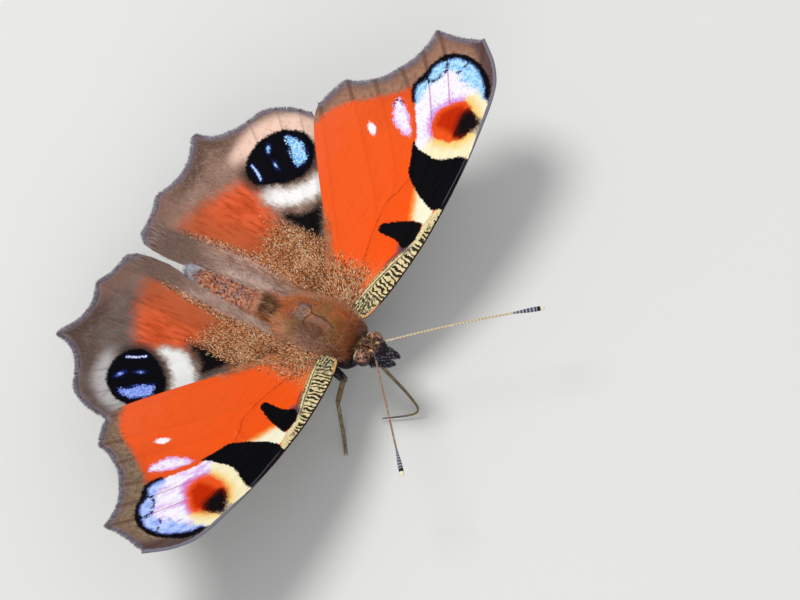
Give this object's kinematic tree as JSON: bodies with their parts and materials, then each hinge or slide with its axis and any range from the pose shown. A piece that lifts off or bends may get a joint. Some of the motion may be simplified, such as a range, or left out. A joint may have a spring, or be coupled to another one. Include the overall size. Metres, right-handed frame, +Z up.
{
  "type": "peacock butterfly",
  "caption": "Life-size still model of a peacock butterfly standing with its wings spread open, its feelers forward and its proboscis reaching down.",
  "frame": {"origin": "on the floor, in the middle of the box that holds the whole animal", "axes": "+X towards the animal's left, -Y the way its head points, +Z up"},
  "size_m": [0.0602, 0.0372, 0.0143],
  "materials": {
    "forewing_scales": "matt overlapping scales, orange-red with black, cream, brown and blue-violet markings",
    "hindwing_scales": "matt overlapping scales, rust and grey-brown with a black and blue eyespot",
    "body_hair": "silky rufous-brown hair",
    "head_hair": "short dark brown and black bristly hair",
    "eye": "fine glossy facets, brown with dark spots",
    "feeler": "finely ringed pale scales, dark club with a cream tip",
    "leg": "satin horny skin, black at the thighs and olive-brown below"
  },
  "bodies": {
    "root": {"thorax": "body_hair", "abdomen": "body_hair", "head": "head_hair", "eye_left": "eye", "eye_right": "eye", "palp_left": "head_hair", "palp_right": "head_hair", "proboscis": "leg", "antenna_left": "feeler", "antenna_right": "feeler", "forewing_left": "forewing_scales", "forewing_right": "forewing_scales", "hindwing_left": "hindwing_scales", "hindwing_right": "hindwing_scales", "foreleg_left": "leg", "foreleg_right": "leg", "midleg_left": "leg", "midleg_right": "leg", "hindleg_left": "leg", "hindleg_right": "leg"}
  },
  "joints": []
}
